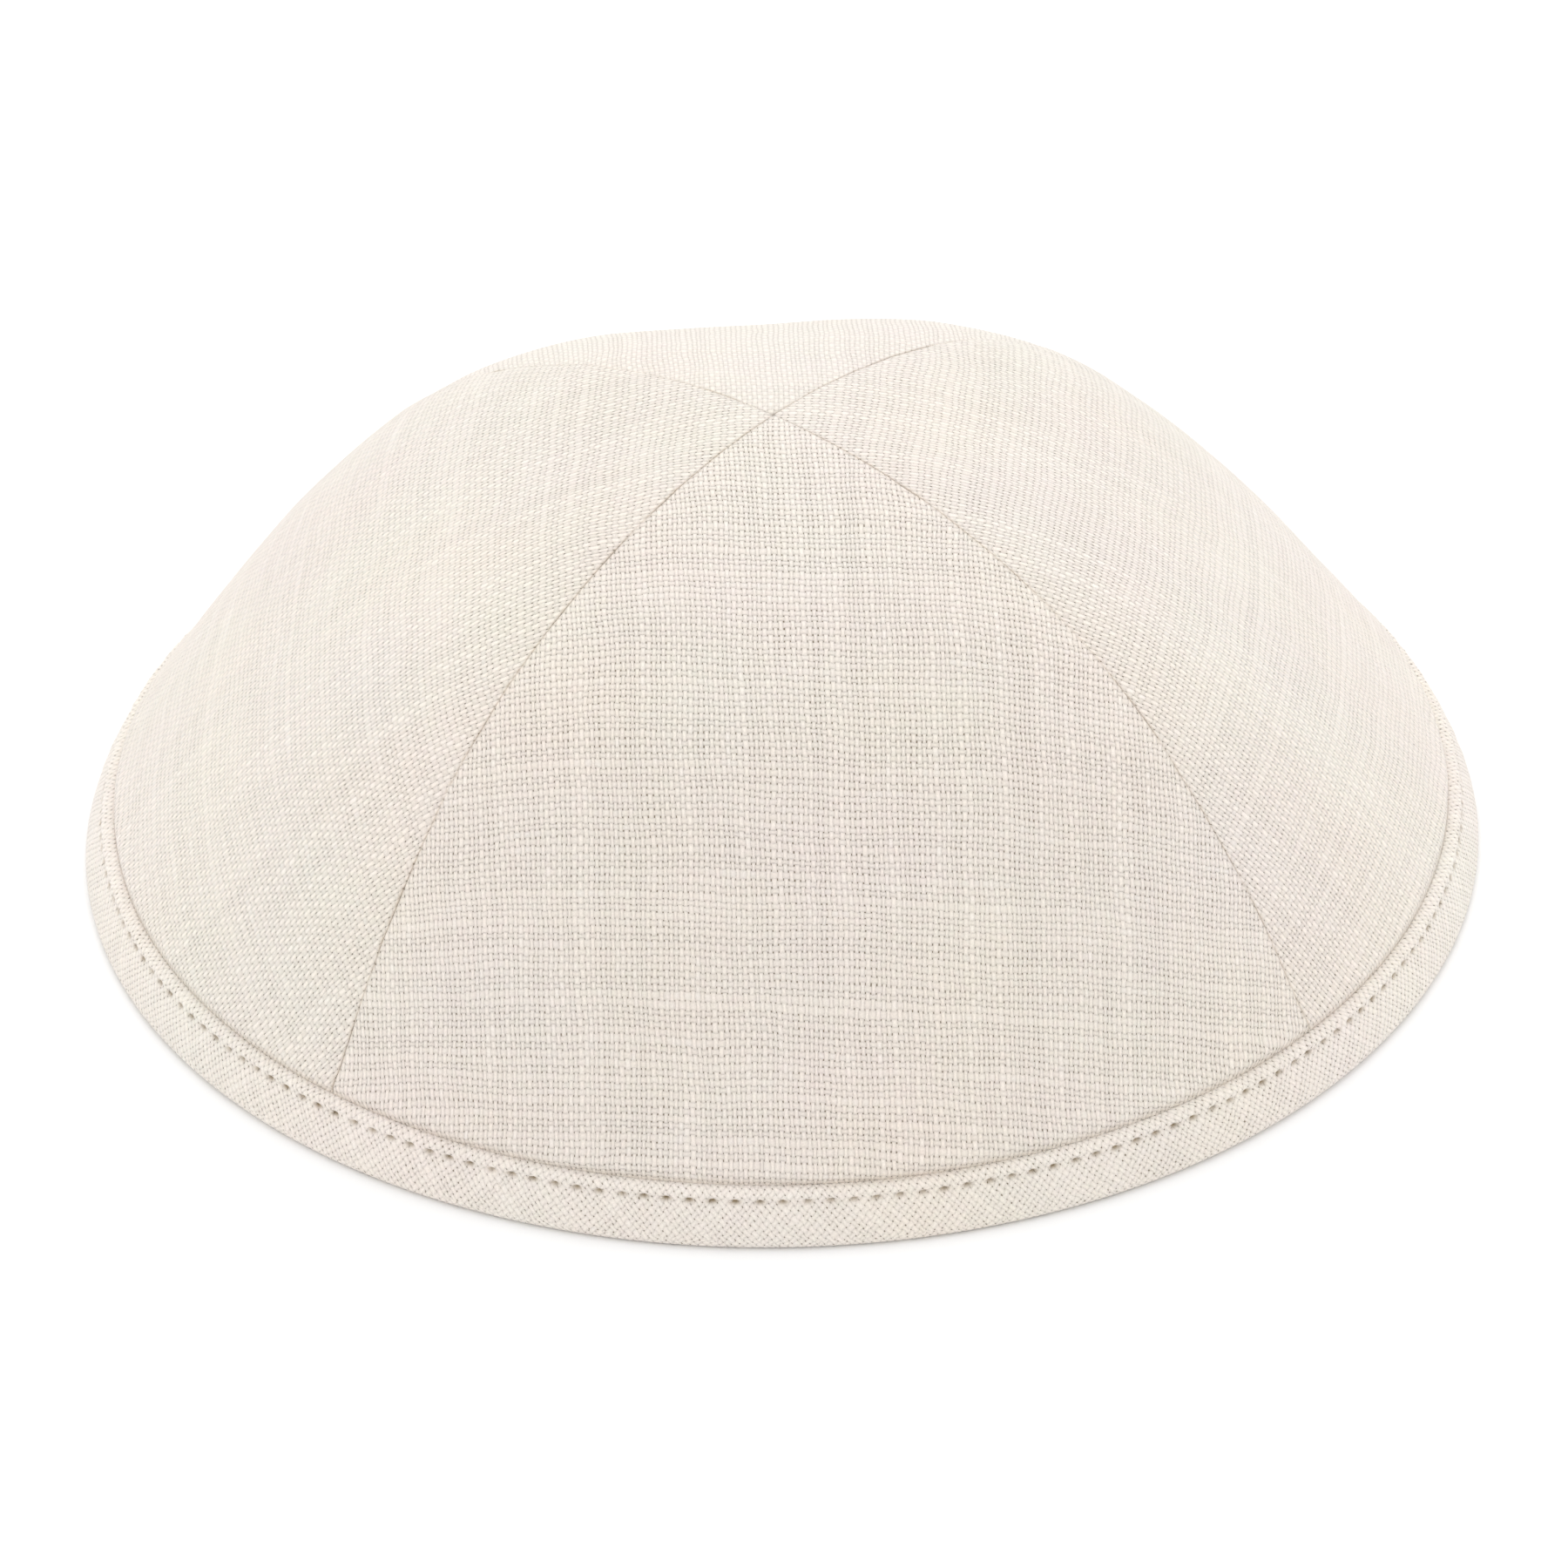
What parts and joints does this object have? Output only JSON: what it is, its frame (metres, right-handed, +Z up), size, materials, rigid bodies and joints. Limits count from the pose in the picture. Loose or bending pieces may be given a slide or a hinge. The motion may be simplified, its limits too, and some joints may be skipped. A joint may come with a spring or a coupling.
{
  "type": "kippah skullcap",
  "caption": "Small round soft skullcap of plain off-white linen: curved panels sewn edge to edge into a squarish dome, open below, with a stitched bias tape round the rim.",
  "frame": {"origin": "centre of the rim, on the surface that the cap rests on", "axes": "+Z up through the tip of the crown; the front panel's middle faces -Y; +X to the wearer's left as the front is seen from -Y"},
  "size_m": [0.1698, 0.1698, 0.06],
  "materials": {
    "linen": "natural off-white plain-weave linen, matt, with slubs",
    "linen_tape": "the same linen cut on the bias, folded and topstitched, matt"
  },
  "bodies": {
    "root": {"panel_front": "linen", "panel_right": "linen", "panel_back": "linen", "panel_left": "linen", "rim_binding": "linen_tape"}
  },
  "joints": []
}
